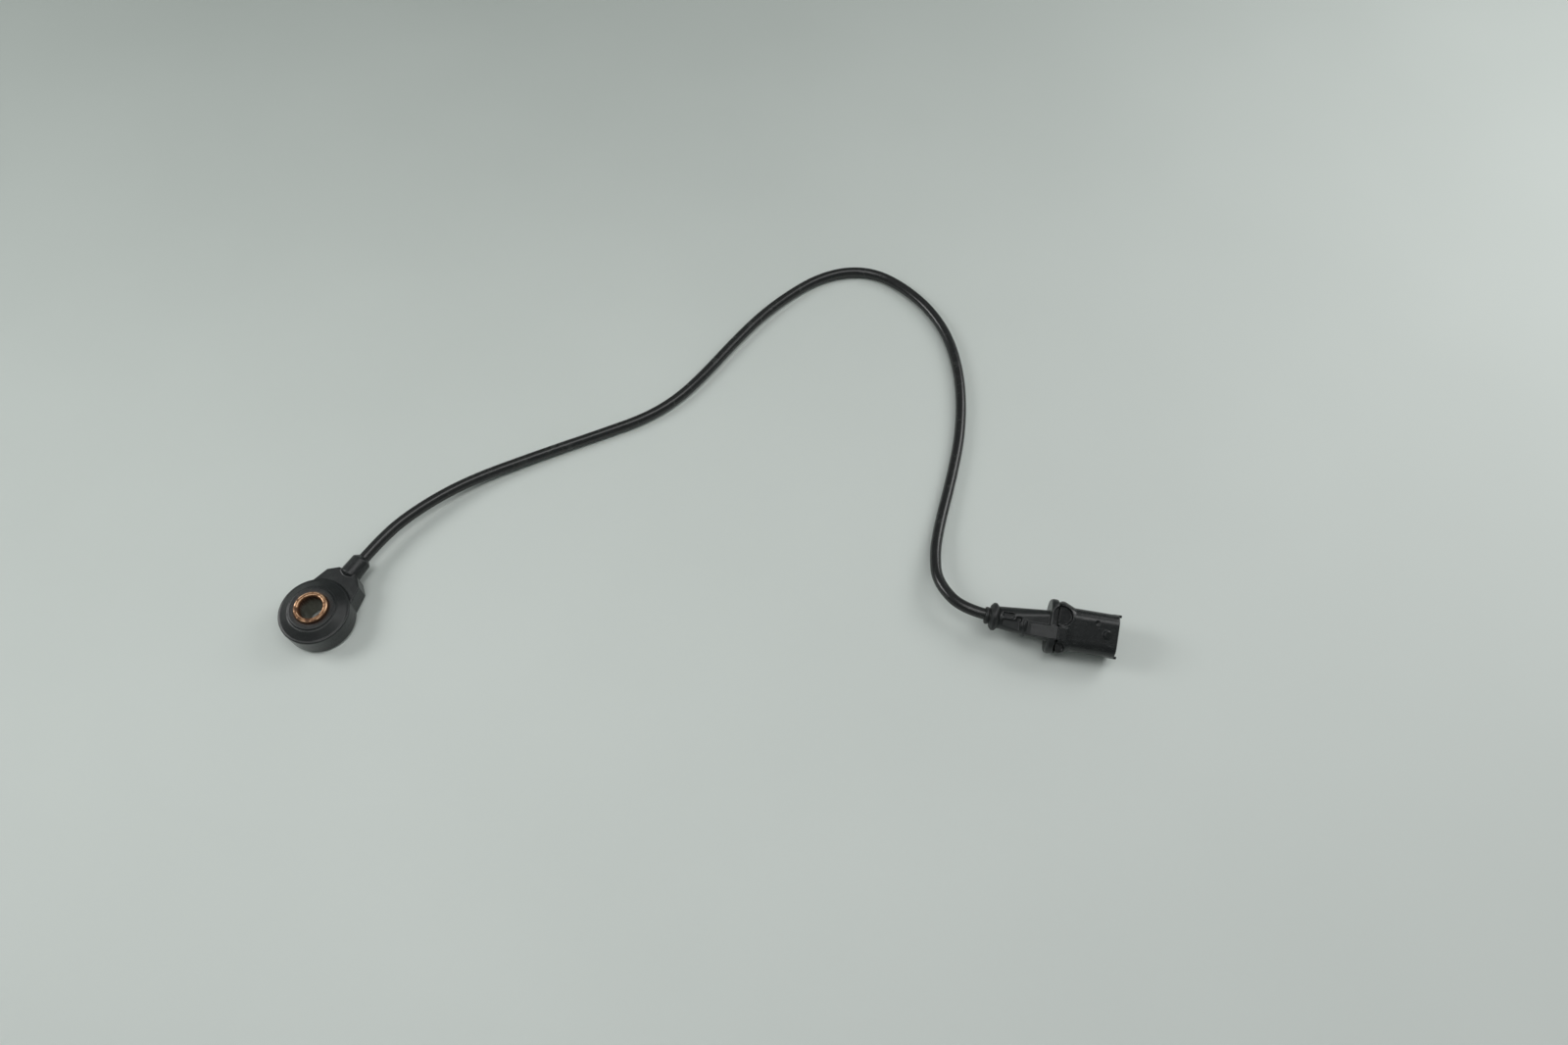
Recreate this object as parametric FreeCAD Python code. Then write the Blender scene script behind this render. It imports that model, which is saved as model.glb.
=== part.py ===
import FreeCAD, Part
import math
import os

# Knock sensor: an annular vibration sensor with a moulded head, a moulded-on cable and a two-pin plug.
# Frame: origin on the bolt bore's axis at the metal contact face. +Z runs up the bolt and +X runs out
# along the cable neck.

V = FreeCAD.Vector
UP = V(0, 0, 1)
AHEAD = V(1, 0, 0)

# Steel sleeve that the bolt clamps
bolt_d = 8.0
bolt_clearance = 0.2
sleeve_wall = 1.8
flange_d = 21.0
flange_t = 2.0
mouth_chamfer = 0.45
sleeve_edge = 0.3
anchor_groove = 0.4

# Sensing stack, from the flange upwards
fit = 0.05
liner_wall = 0.5
liner_relief = 0.1
washer_d = 17.6
washer_t = 0.3
contact_d = 17.0
contact_t = 0.3
piezo_d = 16.6
piezo_t = 2.4
mass_d = 17.4
mass_t = 2.8
mass_chamfer = 0.4
spring_d = 15.6
spring_t = 0.5
spring_cone = 0.3
nut_d = 14.8
nut_t = 1.7
nut_slot = 1.6

# Moulded head
foot_gap = 0.5
side_wall = 2.15
side_draft = 0.1
shoulder_round = 0.55
roof_t = 0.7
cone_drop = 0.5
rim_drop = 2.4
cone_foot_in = 0.3
boss_wall = 0.8
ring_groove_w = 0.5
ring_groove_depth = 0.15
sleeve_proud = 1.2
foot_chamfer = 0.5

# Cable block and neck on the head
block_root_angle = 46.0
block_corner_out = 2.85
block_nose_out = 5.75
block_w = 14.8
block_top_drop = 0.9
block_round = 0.45
nose_step = 0.15
neck_root = 1.6
neck_shoulder = 0.9
neck_wall = 1.75
neck_taper = 0.25
neck_lift = 1.3
neck_length = 7.6
neck_chamfer = 1.3
jacket_insert = 8.0

# Cable
cable_d = 4.2
core_d = 1.6
core_pitch = 1.9
wire_d = 0.9

# Contact tabs and splices in the head
tab_root = 1.0
tab_w = 1.6
tab_pitch = 4.4
tab_rise_out = 1.9
tab_end_out = 5.7
splice_wall = 0.35
splice_length = 3.0
splice_from_tab_end = 0.3

# Plug, measured along its own axis from where the cable enters
plug_gap_to_bend = 7.0
plug_roll = 22.0
grip_small_d = 6.2
grip_small_l = 1.8
grip_edge = 0.3
grip_big_d = 10.0
grip_big_l = 3.0
grip_round = 1.4
grip_stem_d = 5.8
grip_stem_l = 3.4
body_rear_d = 8.0
body_l = 17.7
body_front_w = 11.0
body_front_h = 8.8
body_corner = 2.4
flange_w = 19.6
flange_h = 12.0
flange_round = 5.0
flange_edge = 0.95
rear_flange_l = 2.85
seam_gap_l = 0.4
front_flange_l = 5.35
front_flange_w = 19.0
front_flange_h = 11.6
front_flange_rim = 1.6
seam_core_inset = 1.6
shroud_l = 15.6
shroud_w = 15.5
shroud_h = 11.0
shroud_round = 4.0
shroud_wall = 1.3
socket_depth = 13.4
carrier_w = 9.6
carrier_h = 4.6
carrier_l = 6.0
carrier_round = 0.6

# Plug details
rail_w = 4.7
rail_shift = 2.3
rail_start = 14.6
rail_ramp_l = 1.6
rail_rise = 0.5
rail_start_lift = 0.5
rail_end_gap = 2.2
rib_w = 1.3
rib_h = 0.55
rib_at = 14.2
rib_edge = 0.35
pocket_l = 6.4
pocket_w = 3.8
pocket_depth = 0.9
pocket_from_grip = 1.2
pocket_shift = 2.1
pocket_round = 0.8
vent_l = 4.0
vent_w = 1.7
vent_at = 0.5
hatch_l = 1.9
hatch_w = 1.6
hatch_from_pocket = 4.9
hatch_at = -0.5
eye_d = 7.0
eye_depth = 2.9
eye_ahead = 1.0
eye_aside = 4.2
small_eye_d = 4.0
small_eye_aside = 7.4
latch_d = 3.4
latch_h = 1.1
latch_draft = 0.5
latch_ramp = 22.0
latch_ramp_back = 0.3
latch_root = 1.0
latch_from_mouth = 4.0
lug_l = 1.8
lug_h = 3.0
lug_out = 0.15
lug_ahead = 1.3
lug_root = 0.8
lug_round = 0.45
notch_l = 1.2
notch_w = 1.4
notch_in = -0.1
notch_depth = 0.5
notch_from_mouth = 8.2
key_w = 1.0
key_h = 0.8
key_pitch = 7.0
key_from_mouth = 1.5
mouth_clear = 0.5

# Terminals in the plug
pin_pitch = 5.0
pin_w = 2.8
pin_t = 0.8
pin_reach = 7.6
pin_tip = 0.9
pin_shoulder = 0.3
pin_shoulder_l = 1.6
pin_point = 0.6
crimp_l = 4.2
crimp_wall = 0.4
crimp_end_wall = 0.6
crimp_seam = 0.2
core_to_crimp = 1.0

# Levels of the stack
z_washer_low = flange_t
z_contact_low = z_washer_low + washer_t
z_piezo = z_contact_low + contact_t
z_contact_high = z_piezo + piezo_t
z_washer_high = z_contact_high + contact_t
z_mass = z_washer_high + washer_t
z_spring = z_mass + mass_t
z_nut = z_spring + spring_t + spring_cone
z_boss = z_nut + nut_t + roof_t
z_sleeve_top = z_boss + sleeve_proud
z_rim = z_boss - rim_drop

bore_r = bolt_d / 2 + bolt_clearance
sleeve_r = bore_r + sleeve_wall
liner_in_r = sleeve_r + fit
liner_out_r = liner_in_r + liner_wall
stack_hole_r = liner_out_r + fit
stack_r = max(washer_d, contact_d, piezo_d, mass_d) / 2 + fit
head_r = flange_d / 2 + side_wall
boss_r = nut_d / 2 + boss_wall
cable_r = cable_d / 2
neck_r = cable_r + neck_wall
neck_z = foot_gap + neck_lift + neck_r
nose_x = head_r + block_nose_out
neck_end_x = nose_x + neck_length
jacket_start_x = neck_end_x - jacket_insert
roll = math.radians(plug_roll)
plug_z = flange_round + (flange_w / 2 - flange_round) * math.sin(roll)
plug_z += (flange_h / 2 - flange_round) * math.cos(roll)

# The cable's way over the surface, chosen by eye along the real one
route = [
    (jacket_start_x, 0, neck_z), (36, 0, neck_z), (54, -4.5, 5.2), (73, -12.5, 3.6), (96.5, -28.5, 2.3),
    (117, -44, 2.1), (132, -55, 2.1), (146, -61, 2.1), (162, -64, 2.1), (181, -66, 2.1),
    (199.5, -69, 2.1), (215.5, -74, 2.1), (228.5, -80, 2.1), (238.5, -89, 2.1), (243.5, -100.5, 2.1),
    (242.5, -114.5, 2.1), (237.5, -129.5, 2.1), (227.5, -143.5, 2.1), (210.5, -156.5, 2.1),
    (189.5, -166.5, 2.1), (169, -172.5, 2.1), (146, -178, 2.6), (134, -182, 4.3), (123.5, -188, 6.2),
    (117.5, -202, plug_z), (122.5, -216, plug_z),
]


def turned(profile):
    """A solid of revolution about Z from (radius, height) points."""
    outline = Part.makePolygon([V(r, 0, z) for r, z in profile + profile[:1]])
    return Part.Face(outline).revolve(V(0, 0, 0), UP, 360)


def turned_ahead(profile):
    """A solid of revolution about X from (station, radius) points."""
    outline = Part.makePolygon([V(x, 0, r) for x, r in profile + profile[:1]])
    return Part.Face(outline).revolve(V(0, 0, 0), AHEAD, 360)


def ring(outer_r, inner_r, z, height):
    """A flat ring standing on the level z."""
    outside = Part.makeCylinder(outer_r, height, V(0, 0, z))
    return outside.cut(Part.makeCylinder(inner_r, height, V(0, 0, z)))


def rod(radius, start, length, direction=AHEAD):
    return Part.makeCylinder(radius, length, start, direction)


def block(x0, x1, y0, y1, z0, z1):
    return Part.makeBox(x1 - x0, y1 - y0, z1 - z0, V(x0, y0, z0))


def rounded_section(x, width, height, radius):
    """A closed wire across the X axis: a rectangle with round corners, centred on the axis."""
    a = width / 2
    b = height / 2
    r = min(radius, a - 0.01, b - 0.01)
    edges = []
    for sy, sz, turn in ((1, 1, 0), (-1, 1, 90), (-1, -1, 180), (1, -1, 270)):
        centre = V(x, sy * (a - r), sz * (b - r))
        points = []
        for step in (0, 45, 90):
            angle = math.radians(turn + step)
            points.append(centre + V(0, r * math.cos(angle), r * math.sin(angle)))
        edges.append(points)
    wire = []
    for index, points in enumerate(edges):
        wire.append(Part.Arc(*points).toShape())
        following = edges[(index + 1) % 4][0]
        wire.append(Part.LineSegment(points[2], following).toShape())
    return Part.Wire(wire)


def rounded_bar(x0, x1, width, height, radius):
    return Part.Face(rounded_section(x0, width, height, radius)).extrude(V(x1 - x0, 0, 0))


def edges_at(solid, x):
    """The edges that lie wholly in the plane across X at x."""
    found = []
    for edge in solid.Edges:
        box = edge.BoundBox
        if abs(box.XMin - x) < 1e-4 and abs(box.XMax - x) < 1e-4:
            found.append(edge)
    return found


def bent_strip(points, thickness, width, y):
    """A strip of sheet metal bent along (x, z) points, centred on y."""
    sides = ([], [])
    for index, (x, z) in enumerate(points):
        before = points[max(index - 1, 0)]
        after = points[min(index + 1, len(points) - 1)]
        way_in = V(x - before[0], 0, z - before[1])
        way_out = V(after[0] - x, 0, after[1] - z)
        way_in = way_out if way_in.Length == 0 else way_in
        way_out = way_in if way_out.Length == 0 else way_out
        way_in.normalize()
        way_out.normalize()
        normal_in = V(-way_in.z, 0, way_in.x)
        middle = normal_in + V(-way_out.z, 0, way_out.x)
        middle.normalize()
        reach = thickness / 2 / middle.dot(normal_in)
        here = V(x, y - width / 2, z)
        sides[0].append(here + middle * reach)
        sides[1].append(here - middle * reach)
    outline = sides[0] + sides[1][::-1]
    face = Part.Face(Part.makePolygon(outline + outline[:1]))
    return face.extrude(V(0, width, 0))


def cord_path(points):
    """Straight runs joined by tangent arcs, each as large as its two runs allow."""
    corners = [V(*p) for p in points]
    edges = []
    radii = []
    last = corners[0]
    for before, here, after in zip(corners, corners[1:], corners[2:]):
        back = (before - here)
        ahead = (after - here)
        run = min(back.Length, ahead.Length)
        back.normalize()
        ahead.normalize()
        half_turn = (math.pi - back.getAngle(ahead)) / 2
        reach = 0.45 * run
        radius = reach / math.tan(half_turn)
        start = here + back * reach
        end = here + ahead * reach
        towards = (back + ahead)
        towards.normalize()
        middle = here + towards * (radius / math.cos(half_turn) - radius)
        edges.append(Part.LineSegment(last, start).toShape())
        edges.append(Part.Arc(start, middle, end).toShape())
        radii.append(radius)
        last = end
    edges.append(Part.LineSegment(last, corners[-1]).toShape())
    return Part.Wire(edges), radii


def cord(points, radius):
    """A round cord swept along its path, and the radii of its bends."""
    path, radii = cord_path(points)
    first = V(*points[1]) - V(*points[0])
    section = Part.Wire(Part.makeCircle(radius, V(*points[0]), first))
    return path.makePipe(Part.Face(section)), path.Length, radii


def in_plug(solid):
    """Moves a solid from the plug's own axis to where the cable's last run puts it."""
    bend = V(*route[-2])
    run = V(*route[-1]) - bend
    heading = math.degrees(math.atan2(run.y, run.x))
    run.normalize()
    moved = solid.copy()
    moved.rotate(V(0, 0, 0), AHEAD, plug_roll)
    moved.rotate(V(0, 0, 0), UP, heading)
    moved.translate(bend + run * plug_gap_to_bend)
    return moved


def make_sleeve():
    """The clamped steel sleeve with its flanged foot, turned in one piece."""
    c = mouth_chamfer
    e = sleeve_edge
    g = anchor_groove
    foot_r = flange_d / 2
    mid = flange_t / 2 + foot_gap / 2
    return turned([
        (bore_r + c, 0), (foot_r - e, 0), (foot_r, e),
        (foot_r, mid - g), (foot_r - g, mid), (foot_r, mid + g),
        (foot_r, flange_t), (sleeve_r, flange_t), (sleeve_r, z_sleeve_top - e),
        (sleeve_r - e, z_sleeve_top), (bore_r + c, z_sleeve_top),
        (bore_r, z_sleeve_top - c), (bore_r, c),
    ])


def make_mass():
    r = mass_d / 2
    hole = sleeve_r + 4 * fit
    c = mass_chamfer
    top = z_mass + mass_t
    return turned([
        (hole, z_mass), (r - c, z_mass), (r, z_mass + c), (r, top - c), (r - c, top), (hole, top),
    ])


def make_spring():
    inner = sleeve_r + 3 * fit
    outer = spring_d / 2
    low = z_spring
    return turned([
        (inner, low + spring_cone), (outer, low), (outer, low + spring_t), (inner, z_nut),
    ])


def make_nut():
    """Slotted ring nut that holds the stack down on the sleeve."""
    outer = nut_d / 2
    c = sleeve_edge
    nut = turned([
        (sleeve_r + fit, z_nut), (outer, z_nut), (outer, z_nut + nut_t - c),
        (outer - c, z_nut + nut_t), (sleeve_r + fit, z_nut + nut_t),
    ])
    for angle in (0, 90):
        slot = block(-nut_d, nut_d, -nut_slot / 2, nut_slot / 2, z_nut + nut_t / 2, z_nut + nut_t)
        slot.rotate(V(0, 0, 0), UP, angle)
        nut = nut.cut(slot)
    return nut


tab_z = neck_z - wire_d / 2 - contact_t / 2
tab_end_x = stack_r + tab_end_out


def make_contact(level, side):
    """Contact disc with its tab, bent to the height of the wire that is spliced to it."""
    mid = level + contact_t / 2
    rise = stack_r + tab_rise_out
    shift = abs(mid - tab_z) * 0.5
    strip = bent_strip(
        [(contact_d / 2 - tab_root, mid), (rise - shift, mid), (rise, tab_z), (tab_end_x, tab_z)],
        contact_t, tab_w, side * tab_pitch / 2)
    return ring(contact_d / 2, stack_hole_r + fit, level, contact_t).fuse(strip).removeSplitter()


def splice_span():
    end = tab_end_x - splice_from_tab_end
    return end - splice_length, end


def make_splice(side):
    """Pressed band round a tab and the bare wire that lies on it."""
    x0, x1 = splice_span()
    y = side * tab_pitch / 2
    w = splice_wall
    low = tab_z - contact_t / 2
    high = neck_z + wire_d / 2
    band = block(x0, x1, y - tab_w / 2 - w, y + tab_w / 2 + w, low - w, low + contact_t + w)
    cap = rod(wire_d / 2 + w, V(x0, y, neck_z), x1 - x0)
    hold = block(x0, x1, y - wire_d / 2 - w, y + wire_d / 2 + w, low, neck_z)
    band = band.fuse([cap, hold]).removeSplitter()
    tab_room = block(x0, x1, y - tab_w / 2, y + tab_w / 2, low, low + contact_t)
    wire_room = rod(high - neck_z, V(x0, y, neck_z), x1 - x0)
    gap = block(x0, x1, y - wire_d / 2, y + wire_d / 2, low, neck_z)
    return band.cut(tab_room.fuse([wire_room, gap]))


def head_core(side):
    """Insulated core from the cable jacket's end to the splice."""
    near = side * core_pitch / 2
    far = side * tab_pitch / 2
    end = tab_end_x + core_to_crimp / 2
    room = jacket_start_x - end
    points = [
        (jacket_start_x, near, neck_z), (jacket_start_x - 0.2 * room, near, neck_z),
        (end + 0.2 * room, far, neck_z), (end, far, neck_z),
    ]
    return cord(points, core_d / 2)[0]


def head_wire(side):
    start = tab_end_x + core_to_crimp / 2
    x0 = splice_span()[0]
    return rod(wire_d / 2, V(x0, side * tab_pitch / 2, neck_z), start - x0)


def head_outline():
    """Round body of the head: drafted wall, round shoulder, shallow cone, ring groove and boss."""
    foot_r = head_r - side_draft
    shoulder_r = head_r - shoulder_round
    z_cone = z_boss - cone_drop
    low = foot_gap
    q = shoulder_round * math.sin(math.radians(45))
    arc = Part.Arc(
        V(head_r, 0, z_rim - shoulder_round),
        V(shoulder_r + q, 0, z_rim - shoulder_round + q),
        V(shoulder_r, 0, z_rim)).toShape()
    groove_r = boss_r + ring_groove_w
    before = Part.makePolygon([
        V(0, 0, low), V(foot_r - foot_chamfer, 0, low), V(foot_r, 0, low + foot_chamfer),
        V(head_r, 0, z_rim - shoulder_round)])
    after = Part.makePolygon([
        V(shoulder_r, 0, z_rim), V(shoulder_r - cone_foot_in, 0, z_rim), V(groove_r, 0, z_cone),
        V(groove_r, 0, z_cone - ring_groove_depth), V(boss_r, 0, z_cone - ring_groove_depth),
        V(boss_r, 0, z_boss), V(0, 0, z_boss), V(0, 0, low)])
    wire = Part.Wire(before.Edges + [arc] + after.Edges)
    return Part.Face(wire).revolve(V(0, 0, 0), UP, 360)


def cable_block():
    """Ear that carries the neck: tapered sides, a chamfered nose and rounded edges."""
    a = math.radians(block_root_angle)
    root = (head_r * math.cos(a), head_r * math.sin(a))
    corner = (head_r + block_corner_out, block_w / 2)
    nose = (nose_x, neck_r + nose_step)
    half = [root, corner, nose]
    outline = [V(0, root[1], foot_gap)] + [V(x, y, foot_gap) for x, y in half]
    outline += [V(x, -y, foot_gap) for x, y in half[::-1]] + [V(0, -root[1], foot_gap)]
    face = Part.Face(Part.makePolygon(outline + outline[:1]))
    top = z_rim - block_top_drop
    ear = face.extrude(V(0, 0, top - foot_gap))
    soft = []
    for edge in ear.Edges:
        box = edge.BoundBox
        upright = box.ZLength > 1 and box.XMax > head_r
        level_top = abs(box.ZMin - top) < 1e-4 and box.XMax > head_r - 1 and box.XLength + box.YLength > 0.1
        if upright or level_top:
            soft.append(edge)
    return ear.makeFillet(block_round, soft)


def neck():
    """Round neck along X: a sloped shoulder on the ear, a slight taper and a chamfered end."""
    tip_r = neck_r - neck_taper
    start = nose_x - neck_root
    shape = turned_ahead([
        (start, 0), (start, neck_r - neck_shoulder), (start + neck_shoulder, neck_r), (nose_x, neck_r),
        (neck_end_x - neck_chamfer, tip_r), (neck_end_x, tip_r - neck_chamfer), (neck_end_x, 0)])
    shape.translate(V(0, 0, neck_z))
    return shape


def make_housing(inner):
    """One moulding of round body, ear and neck, closed round everything that it holds."""
    body = head_outline().fuse([cable_block(), neck()]).removeSplitter()
    stack_space = turned([
        (0, foot_gap), (stack_r, foot_gap), (stack_r, z_spring), (nut_d / 2 + fit, z_spring),
        (nut_d / 2 + fit, z_nut + nut_t), (0, z_nut + nut_t)])
    if spring_d > nut_d:
        stack_space = stack_space.fuse(ring(spring_d / 2 + fit, sleeve_r, z_spring, z_nut - z_spring))
    bore = rod(sleeve_r, V(0, 0, 0), z_sleeve_top, UP)
    flange_room = inner[0]
    return body.cut([stack_space, bore, flange_room] + inner[1:])


# Stations along the plug's axis
s_grip_end = grip_small_l + grip_big_l
s_body_end = s_grip_end + body_l
s_rear_flange_end = s_body_end + rear_flange_l
s_seam = s_rear_flange_end + seam_gap_l / 2
s_front_flange = s_rear_flange_end + seam_gap_l
s_shroud = s_front_flange + front_flange_l
s_mouth = s_shroud + shroud_l
s_floor = s_mouth - socket_depth
s_carrier = s_seam - carrier_l
s_crimp = s_carrier - crimp_l
s_jacket_end = (V(*route[-1]) - V(*route[-2])).Length - plug_gap_to_bend


def make_grip():
    """Rubber strain relief with a small and a large collar and a stem in the plug's rear."""
    r = grip_big_d / 2
    c = grip_round
    x0 = grip_small_l
    x1 = s_grip_end
    k = c * (1 - math.cos(math.radians(45)))
    collar = Part.Wire([
        Part.LineSegment(V(x0, 0, cable_r + fit), V(x0, 0, r - c)).toShape(),
        Part.Arc(V(x0, 0, r - c), V(x0 + k, 0, r - k), V(x0 + c, 0, r)).toShape(),
        Part.LineSegment(V(x0 + c, 0, r), V(x1 - c, 0, r)).toShape(),
        Part.Arc(V(x1 - c, 0, r), V(x1 - k, 0, r - k), V(x1, 0, r - c)).toShape(),
        Part.LineSegment(V(x1, 0, r - c), V(x1, 0, cable_r + fit)).toShape(),
        Part.LineSegment(V(x1, 0, cable_r + fit), V(x0, 0, cable_r + fit)).toShape(),
    ])
    big = Part.Face(collar).revolve(V(0, 0, 0), AHEAD, 360)
    small_r = grip_small_d / 2
    small = turned_ahead([
        (0, cable_r + fit), (0, small_r - grip_edge), (grip_edge, small_r), (x0 - grip_edge, small_r),
        (x0, small_r - grip_edge), (x0, cable_r + fit)])
    stem = turned_ahead([
        (x1, cable_r + fit), (x1, grip_stem_d / 2), (x1 + grip_stem_l, grip_stem_d / 2),
        (x1 + grip_stem_l, cable_r + fit)])
    return big.fuse([small, stem]).removeSplitter()


def softened(bar, stations, size):
    """Rounds the rim edges of a bar at the given stations."""
    rims = []
    for station in stations:
        rims += edges_at(bar, station)
    return bar.makeFillet(size, rims)


def eyes():
    """The two round recesses that run across the seam between the flanges."""
    station = s_front_flange + eye_ahead
    floor = flange_h / 2 - eye_depth
    big = rod(eye_d / 2, V(station, eye_aside, floor), flange_h, UP)
    small = rod(small_eye_d / 2, V(station, -small_eye_aside, floor), flange_h, UP)
    return [big, small]


def make_rear(inner):
    """Rear moulding: flared body, cross rib, pocket, vent, hatch, rail and the rear flange."""
    sections = [
        rounded_section(s_grip_end, body_rear_d, body_rear_d, body_rear_d / 2),
        rounded_section(s_body_end, body_front_w, body_front_h, body_corner),
    ]
    body = Part.makeLoft(sections, True, True)
    plate = rounded_bar(s_body_end, s_rear_flange_end, flange_w, flange_h, flange_round)
    plate = softened(plate, (s_body_end, s_rear_flange_end), flange_edge)
    core = rounded_bar(s_rear_flange_end, s_seam, shroud_w - seam_core_inset,
                       shroud_h - seam_core_inset, shroud_round)
    grow = (rib_at - s_grip_end) / body_l
    rib_w2 = body_rear_d + (body_front_w - body_rear_d) * grow + 2 * rib_h
    rib_h2 = body_rear_d + (body_front_h - body_rear_d) * grow + 2 * rib_h
    rib = rounded_bar(rib_at - rib_w / 2, rib_at + rib_w / 2, rib_w2, rib_h2, body_front_h / 2)
    rib = softened(rib, (rib_at - rib_w / 2, rib_at + rib_w / 2), rib_edge)
    rib = rib.common(block(s_grip_end, s_body_end, -body_front_w, vent_at, -body_front_h, body_front_h))
    top = flange_h / 2 + rail_rise
    rear_top = rib_h2 / 2 - rib_h
    near = -rail_shift - rail_w / 2
    side = Part.Face(Part.makePolygon([
        V(rail_start, near, 0), V(rail_start, near, rear_top),
        V(rail_start + rail_ramp_l, near, rear_top + rail_start_lift),
        V(s_rear_flange_end, near, top), V(s_seam, near, top),
        V(s_seam, near, 0), V(rail_start, near, 0)]))
    rail = side.extrude(V(0, rail_w, 0))
    whole = body.fuse([plate, core, rib, rail]).removeSplitter()
    x0 = s_grip_end + pocket_from_grip
    level = body_rear_d / 2 - pocket_depth
    pocket = block(x0, x0 + pocket_l, -pocket_shift - pocket_w / 2, -pocket_shift + pocket_w / 2,
                   level, body_rear_d)
    pocket = pocket.makeFillet(pocket_round, [e for e in pocket.Edges if e.BoundBox.ZLength > 1])
    vent = block(x0, x0 + vent_l, vent_at, vent_at + vent_w, level, body_rear_d)
    x1 = x0 + hatch_from_pocket
    hatch = block(x1, x1 + hatch_l, hatch_at, hatch_at + hatch_w, level, body_rear_d)
    return whole.cut([pocket, vent, hatch] + eyes() + inner)


def make_shroud():
    """Front moulding: terminal carrier, front flange and the open shroud round the pins."""
    carrier = rounded_bar(s_carrier, s_seam, carrier_w, carrier_h, carrier_round)
    core = rounded_bar(s_seam, s_front_flange, shroud_w - seam_core_inset,
                       shroud_h - seam_core_inset, shroud_round)
    rim_end = s_front_flange + front_flange_rim
    plate = rounded_bar(s_front_flange, rim_end, front_flange_w, front_flange_h, flange_round)
    plate = softened(plate, (s_front_flange,), flange_edge)
    taper = Part.makeLoft([
        rounded_section(rim_end, front_flange_w, front_flange_h, flange_round),
        rounded_section(s_shroud, shroud_w, shroud_h, shroud_round)], True, True)
    shell = rounded_bar(s_shroud, s_mouth, shroud_w, shroud_h, shroud_round)
    top = flange_h / 2 + rail_rise
    rail_end = block(s_seam, s_shroud - rail_end_gap, -rail_shift - rail_w / 2, -rail_shift + rail_w / 2,
                     0, top)
    lugs = []
    for side in (-1, 1):
        ys = sorted((side * (shroud_w / 2 - lug_root), side * (shroud_w / 2 + lug_out)))
        lug = block(s_mouth - lug_l, s_mouth + lug_ahead, ys[0], ys[1], -lug_h / 2, lug_h / 2)
        ends = [e for e in lug.Edges if e.BoundBox.YLength > 0.1 and e.BoundBox.XMin > s_mouth]
        lugs.append(lug.makeFillet(lug_round, ends))
    s_latch = s_mouth - latch_from_mouth
    latch_foot = V(s_latch, 0, shroud_h / 2 - latch_root)
    latch = Part.makeCone(latch_d / 2, latch_d / 2 - latch_draft, latch_h + latch_root, latch_foot)
    ramp = Part.makeBox(latch_d, 2 * latch_d, latch_h * 2, V(0, -latch_d, 0))
    ramp.rotate(V(0, 0, 0), V(0, 1, 0), latch_ramp)
    ramp.translate(V(s_latch - latch_ramp_back, 0, shroud_h / 2 + latch_h))
    latch = latch.cut(ramp)
    whole = carrier.fuse([core, plate, taper, shell, rail_end, latch] + lugs).removeSplitter()
    inside_w = shroud_w - 2 * shroud_wall
    inside_h = shroud_h - 2 * shroud_wall
    inside_r = shroud_round - shroud_wall
    cavity = rounded_bar(s_floor, s_mouth + mouth_clear, inside_w, inside_h, inside_r)
    keys = []
    for side in (-1, 1):
        y = side * key_pitch / 2
        keys.append(block(s_floor, s_mouth - key_from_mouth, y - key_w / 2, y + key_w / 2,
                          -inside_h / 2, -inside_h / 2 + key_h))
    cavity = cavity.cut(keys[0].fuse(keys[1]))
    x0 = s_mouth - notch_from_mouth
    y = shroud_w / 2 - shroud_round + notch_in
    floor = shroud_h / 2 - notch_depth
    notch = block(x0, x0 + notch_l, y - notch_w / 2, y + notch_w / 2, floor, shroud_h)
    slots = []
    for side in (-1, 1):
        slots.append(terminal_outline(side))
    return whole.cut([cavity, notch] + eyes() + slots)


def terminal_outline(side):
    """Flat blade with a pointed tip and a wider shoulder that locks it in the carrier."""
    tip = s_floor + pin_reach
    w = pin_w / 2
    x1 = s_carrier + carrier_l * 0.5
    x2 = x1 + pin_shoulder_l
    s = pin_shoulder
    points = [
        (s_carrier, -w), (x1, -w), (x1, -w - s), (x2, -w - s), (x2, -w), (tip - pin_tip, -w),
        (tip, -w + pin_point), (tip, w - pin_point), (tip - pin_tip, w), (x2, w),
        (x2, w + s), (x1, w + s), (x1, w), (s_carrier, w),
    ]
    y = side * pin_pitch / 2
    outline = [V(px, y + py, -pin_t / 2) for px, py in points]
    return Part.Face(Part.makePolygon(outline + outline[:1])).extrude(V(0, 0, pin_t))


def make_terminal(side):
    """Terminal pin: the blade and, behind it, the crimp barrel round the wire."""
    y = side * pin_pitch / 2
    outer = wire_d / 2 + crimp_wall
    barrel = rod(outer, V(s_crimp, y, 0), crimp_l)
    hole = rod(wire_d / 2, V(s_crimp, y, 0), crimp_l - crimp_end_wall)
    seam = block(s_crimp, s_carrier - 2 * crimp_end_wall, y - crimp_seam / 2, y + crimp_seam / 2, 0, outer)
    return terminal_outline(side).fuse(barrel.cut([hole, seam])).removeSplitter()


def plug_core(side):
    near = side * core_pitch / 2
    far = side * pin_pitch / 2
    end = s_crimp - core_to_crimp
    room = end - s_jacket_end
    points = [
        (s_jacket_end, near, 0), (s_jacket_end + 0.2 * room, near, 0),
        (end - 0.2 * room, far, 0), (end, far, 0)]
    return cord(points, core_d / 2)[0]


def plug_wire(side):
    start = s_crimp - core_to_crimp
    return rod(wire_d / 2, V(start, side * pin_pitch / 2, 0), s_carrier - crimp_end_wall - start)


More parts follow.
